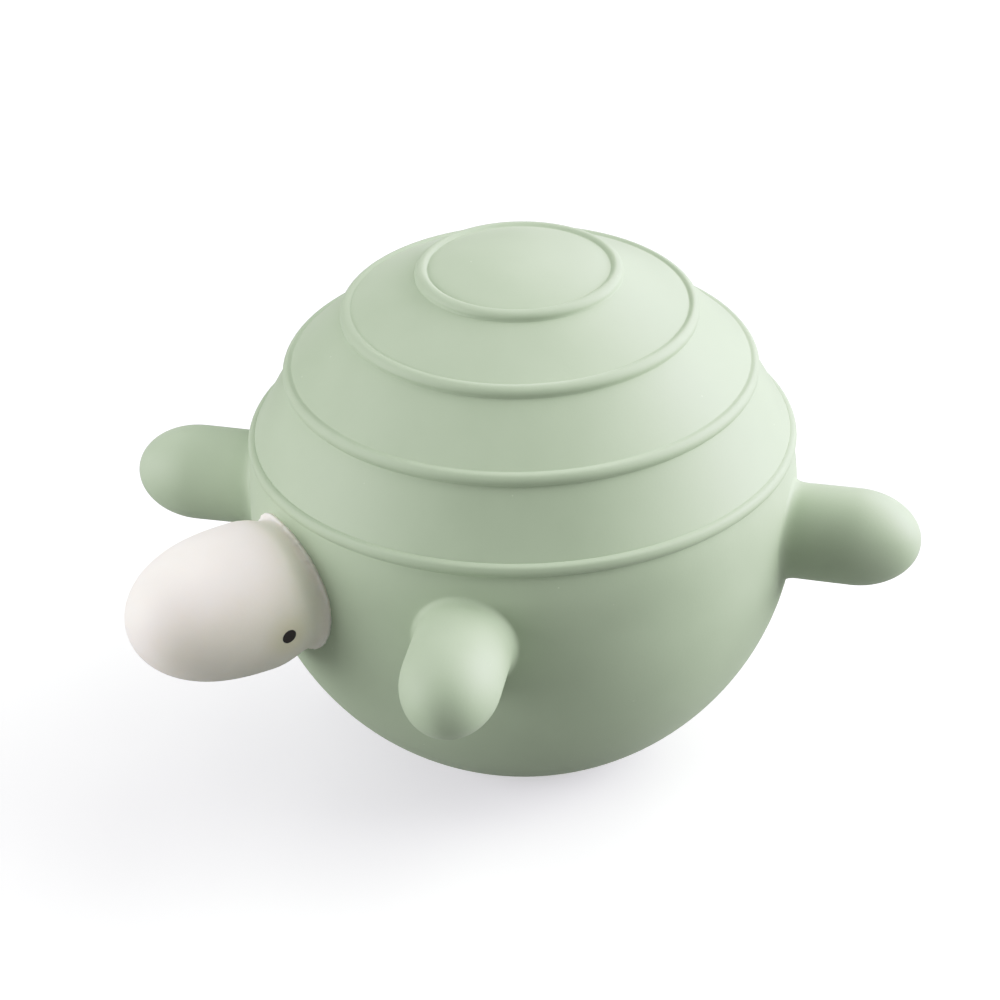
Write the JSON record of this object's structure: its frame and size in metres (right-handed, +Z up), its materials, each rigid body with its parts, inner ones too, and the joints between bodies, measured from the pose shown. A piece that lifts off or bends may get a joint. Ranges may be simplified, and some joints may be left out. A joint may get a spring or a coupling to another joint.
{
  "type": "turtle bath ball",
  "caption": "Hollow rubber bath ball shaped as a turtle, with ring beads round its shell, a pale head and round flippers that bend at their roots and spring back.",
  "frame": {"origin": "middle of the flat foot under the ball, on the surface that it stands on", "axes": "+Z up, head towards -Y, left flippers on the +X side"},
  "size_m": [0.0882, 0.1072, 0.0786],
  "materials": {
    "shell_rubber": "matt sage green natural rubber, moulded",
    "plug_rubber": "matt sage green natural rubber, moulded",
    "head_rubber": "matt off-white natural rubber, moulded",
    "eye_paint": "flat black-brown paint"
  },
  "bodies": {
    "shell": {"carapace_shell": "shell_rubber", "belly_shell": "shell_rubber", "base_plug": "plug_rubber"},
    "head": {"head_shell": "head_rubber", "left_eye": "eye_paint", "right_eye": "eye_paint"},
    "front_left_flipper": {"front_left_flipper": "shell_rubber"},
    "front_right_flipper": {"front_right_flipper": "shell_rubber"},
    "rear_left_flipper": {"rear_left_flipper": "shell_rubber"},
    "rear_right_flipper": {"rear_right_flipper": "shell_rubber"}
  },
  "joints": [
    {"name": "head_flex", "type": "hinge", "parent": "shell", "child": "head", "pos_m": [0, -0.03873, 0.03767], "axis": [-1, 0, 0], "range_deg": [-6, 6], "stiffness_Nm_per_rad": 0.6},
    {"name": "front_left_flipper_flex", "type": "hinge", "parent": "shell", "child": "front_left_flipper", "pos_m": [0.02983, -0.02932, 0.03797], "axis": [-0.7009, -0.7133, 0], "range_deg": [-15, 15], "stiffness_Nm_per_rad": 0.25},
    {"name": "front_right_flipper_flex", "type": "hinge", "parent": "shell", "child": "front_right_flipper", "pos_m": [-0.02983, -0.02932, 0.03797], "axis": [-0.7009, 0.7133, 0], "range_deg": [-15, 15], "stiffness_Nm_per_rad": 0.25},
    {"name": "rear_left_flipper_flex", "type": "hinge", "parent": "shell", "child": "rear_left_flipper", "pos_m": [0.03039, 0.02874, 0.03797], "axis": [0.6871, -0.7266, 0], "range_deg": [-15, 15], "stiffness_Nm_per_rad": 0.25},
    {"name": "rear_right_flipper_flex", "type": "hinge", "parent": "shell", "child": "rear_right_flipper", "pos_m": [-0.03039, 0.02874, 0.03797], "axis": [0.6871, 0.7266, 0], "range_deg": [-15, 15], "stiffness_Nm_per_rad": 0.25}
  ]
}
